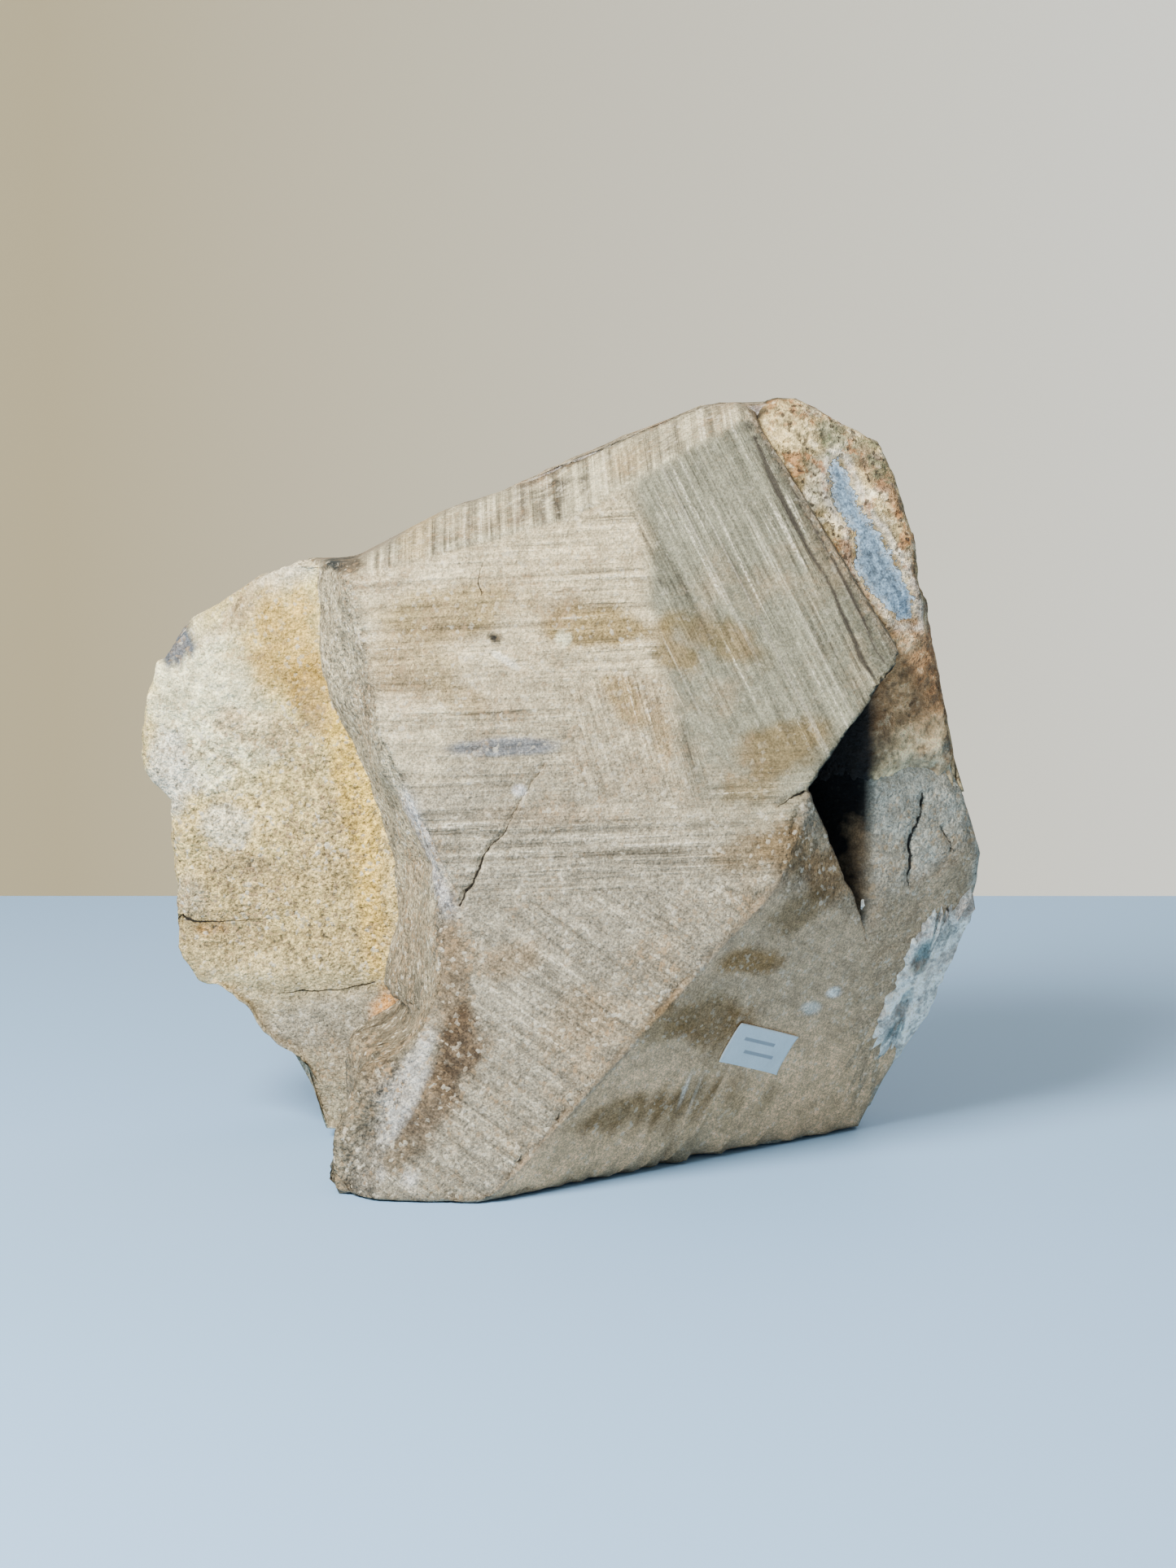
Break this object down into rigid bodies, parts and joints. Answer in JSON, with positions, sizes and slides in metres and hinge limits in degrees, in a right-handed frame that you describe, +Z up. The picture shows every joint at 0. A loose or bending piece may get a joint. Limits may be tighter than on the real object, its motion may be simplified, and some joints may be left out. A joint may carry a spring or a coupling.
{
  "type": "amethyst cluster",
  "caption": "Amethyst cluster on a sawn basalt block that stands on its own flat foot: rough wing, overhanging face, chalcedony rind and a crust of pointed purple crystals.",
  "frame": {"origin": "on the resting face, under the middle of the stone's box", "axes": "+X across the stone, towards the side with the hollow; +Y from the sawn basalt back towards the crystals; +Z up"},
  "size_m": [0.18, 0.0997, 0.1605],
  "materials": {
    "basalt": "sawn and weathered grey-brown basalt with saw marks and ochre stains",
    "chalcedony": "banded blue-grey chalcedony with a rusty, green-flecked outer crust",
    "amethyst": "clear purple quartz with flat glossy faces, paler at the roots",
    "paper": "matt white paper sticker"
  },
  "bodies": {
    "root": {"basalt_matrix": "basalt", "chalcedony_rind": "chalcedony", "amethyst_crystals": "amethyst", "label": "paper"}
  },
  "joints": []
}
